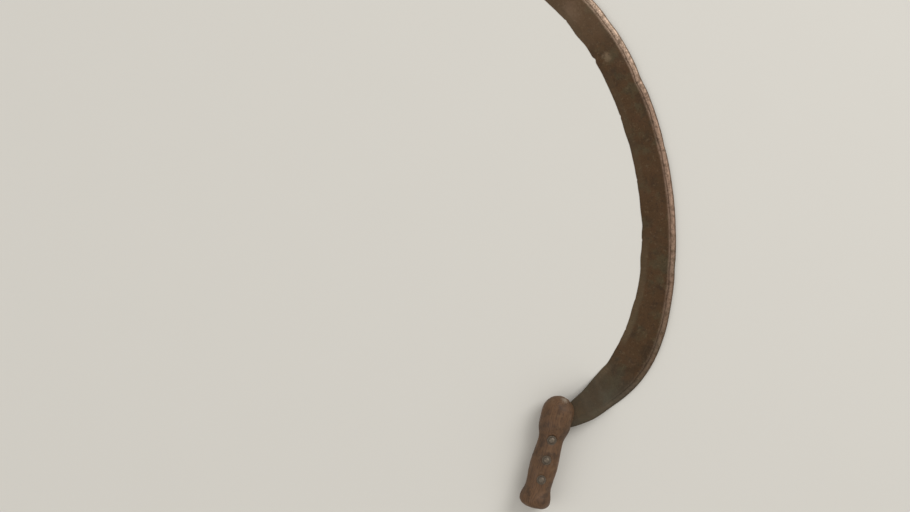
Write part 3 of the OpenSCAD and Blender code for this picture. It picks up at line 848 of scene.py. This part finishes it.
def turnedHandle(material):
    outline = [(r, headRadius - t) for t, r in handleOutline()]
    handle = turnedBlank("handleTurned", outline, latheSizes, material)
    height = handleSizes["axisHeight"]
    handle.data.transform(toFrame(height) @ Matrix.Rotation(handleTurn, 4, "Z")
                          @ Matrix.Rotation(quarterTurn, 4, "Y"))
    asTurned = bmesh.new()
    asTurned.from_mesh(handle.data)
    turned = bvhtree.BVHTree.FromBMesh(asTurned)
    asTurned.free()

    low = bladeSizes["Crank Height"] - slot["clear"]
    high = low + bladeSizes["Plate Thickness"] + 2 * slot["clear"]
    cutters = [prism("slotCutter", slotOutline(), low, high)]
    for place, seat in zip(rivetPlaces, seats):
        cutters.append(prism("holeCutter", circle(place, holeRadius), -1, 2 * height + 1))
        cutters.append(prism("pocketCutter", circle(place, pocketRadius), height + seat, 2 * height))
        cutters.append(prism("pocketCutter", circle(place, pocketRadius), 0, height - seat))
    for cutter in cutters:
        cut = handle.modifiers.new("cut", "BOOLEAN")
        cut.operation = "DIFFERENCE"
        cut.solver = "EXACT"
        cut.object = cutter
    worn = handle.modifiers.new("worn", "REMESH")  # rounds every cut edge as use does
    worn.mode = "VOXEL"
    worn.voxel_size = handleWear["voxel"] * mm
    worn.use_smooth_shade = True
    rubbed = handle.modifiers.new("rubbed", "SMOOTH")
    rubbed.factor = 0.5
    rubbed.iterations = handleWear["rounds"]
    settle(handle, sharpAngle=60)
    for cutter in cutters:
        bpy.data.objects.remove(cutter)

    # away from the cuts the points go back to the turned surface, which takes the remesh's steps out
    mesh = handle.data
    shell = bmesh.new()
    shell.from_mesh(mesh)
    atCuts = set()
    for point in shell.verts:
        onSurface, _, _, gap = turned.find_nearest(point.co)
        away = ease((gap / mm - handleWear["snapFrom"]) / handleWear["snapOver"])
        point.co = point.co.lerp(onSurface, 1 - away)
        if gap > handleWear["cutGap"] * mm:
            atCuts.add(point)
    for _ in range(handleWear["cutRings"]):
        atCuts.update([edge.other_vert(point) for point in atCuts for edge in point.link_edges])
    for _ in range(handleWear["cutRounds"]):
        bmesh.ops.smooth_vert(shell, verts=list(atCuts), factor=0.5,
                              use_axis_x=True, use_axis_y=True, use_axis_z=True)
    shell.to_mesh(mesh)
    shell.free()

    # knocks and hollows of use go inwards only
    outwards = [vertex.normal.copy() for vertex in mesh.vertices]
    for vertex, normal in zip(mesh.vertices, outwards):
        hollow = 0
        for size, start, depth, shift in handleWear["marks"]:
            level = noise.noise(vertex.co / mm / size + Vector(shift))
            hollow += max(0, level - start) * depth
        vertex.co -= normal * (hollow + handleWear["skin"]) * mm
    mesh.update()
    mesh.materials.clear()
    mesh.materials.append(material)  # the remesh drops it
    return handle


handle = turnedHandle(oiledWood())
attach(handle, "root")
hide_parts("handle")
print("handle turned")


# rivets and burrs

parting = 0.02  # height of the shank before the tree draws the rivet's two ends apart


def rivetOutline():
    # a formed head above, a flatter hammered end below, and the shank between them
    radius, shank = rivet["headRadius"], rivet["shank"]
    turns = arc(rivet["arcRows"])
    head = [(radius * cos(g), rivet["headHeight"] * sin(g)) for g in turns]
    end = [(radius * cos(g), -parting - rivet["endHeight"] * sin(g)) for g in turns[::-1]]
    return end + [(shank, -parting), (shank, 0)] + head


def burrOutline():
    # a punched washer with rounded rims
    inner, outer = holeRadius, rivet["burrRadius"]
    thick, r = rivet["burrThickness"], rivet["rim"]
    return [(inner, r), (inner + r, 0), (outer - r, 0), (outer, r), (outer, thick - r),
            (outer - r, thick), (inner + r, thick), (inner, thick - r), (inner, r)]


seatTreeSizes = {"Turn Step": 0.9, "Mark Depth": 0.26, "Seed": 5}
dentSize = 2.1  # from one hammer dent to the next


def onSeatsTree(way, extra):
    # puts the mesh on the three seats, whose heights ride on the points, and dents it a little;
    # way is 1 upwards and -1 downwards, and with 0 each half of the mesh goes its own way;
    # extra lies between the seat and the mesh
    tree, node, given = newTree("onSeats", seatTreeSizes)
    line = node("GeometryNodeMeshLine", {"Count": len(seats)})
    index = node("GeometryNodeInputIndex")
    place, seat = (0, 0, 0), 0.0
    for i, (spot, height) in enumerate(zip(rivetPlaces, seats)):
        here = node("FunctionNodeCompare", {"A": index, "B": i}, data_type="INT", operation="EQUAL")
        place = node(switch, (here, place, (spot.x, spot.y, 0)), "VECTOR")
        seat = node(switch, (here, seat, height), "FLOAT")
    points = node("GeometryNodeSetPosition", {"Geometry": line, "Position": place})
    points = node("GeometryNodeStoreNamedAttribute", {"Geometry": points, "Name": "seat", "Value": seat})
    spin = node(maths, (index, given["Turn Step"]), times)
    copies = node("GeometryNodeInstanceOnPoints", {
        "Points": points, "Instance": given["Geometry"], "Rotation": node(combine, {"Z": spin})})
    real = node("GeometryNodeRealizeInstances", {"Geometry": copies})
    stored = node("GeometryNodeInputNamedAttribute", {"Name": "seat"}, data_type="FLOAT")
    position = node("GeometryNodeInputPosition")
    x, y, z = node("ShaderNodeSeparateXYZ", (position,)).outputs
    grown = node(maths, (stored, extra))
    if way == 0:
        above = node(maths, (z, -parting / 2), "GREATER_THAN")
        lifted = node(maths, (grown, node(ramp, (above, 0, 1, -1, 1)), z), timesPlus)
    else:
        lifted = node(maths, (node(maths, (grown, z)), way), times)
    lifted = node(maths, (lifted, handleSizes["axisHeight"]))
    moved = node("GeometryNodeSetPosition", {"Geometry": real, "Position": node(combine, (x, y, lifted))})
    # hammer facets: shallow dents along the normal
    facets = node("ShaderNodeTexVoronoi", {"Vector": position, "Scale": 1 / dentSize, "W": given["Seed"]},
                  voronoi_dimensions="4D")
    deepest = node(maths, (given["Mark Depth"], -1), times)
    dent = node(ramp, (facets, 0, 0.8, deepest, 0))
    push = node(vectors, {0: node("GeometryNodeInputNormal"), "Scale": dent}, "SCALE")
    dented = node("GeometryNodeSetPosition", {"Geometry": moved, "Offset": push})
    endTree(node, given, inFrame(node, dented))
    return tree


fastenerSizes = {"Segments": 56}


def fasteners(name, outline, material, nodeName, way, extra):
    nodes = [nodeName + end for end in ("front", "middle", "rear")]
    blank = turnedBlank(name + "Blank", outline, fastenerSizes, material)
    piece = grow(name, onSeatsTree(way, extra), seatTreeSizes, material, blank.data)
    bpy.data.objects.remove(blank)
    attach(piece, "root")
    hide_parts(*nodes)


ironWorn = hammeredIron("wroughtIronRivetStruck", {
    "base": "#4E4439", "bright": "#8C7F6F", "roughness": 0.44, "grain": 0.7,
    "blotches": [("#372D25", 1.6, 0.5, 0.7, 0.5), ("#5F432D", 3.5, 0.55, 0.7, 0.35)]})
burrWorn = hammeredIron("ironBurrPunched", {
    "base": "#4B4136", "bright": "#7B6F60", "roughness": 0.5, "grain": 0.7,
    "blotches": [("#352C24", 1.4, 0.5, 0.7, 0.5), ("#634833", 3.0, 0.56, 0.7, 0.4)]})
fasteners("rivets", rivetOutline(), ironWorn, "rivet_", 0, rivet["burrThickness"])
fasteners("upperBurrs", burrOutline(), burrWorn, "upper_burr_", 1, 0)
fasteners("lowerBurrs", burrOutline(), burrWorn, "lower_burr_", -1, 0)
print("rivets and burrs set")
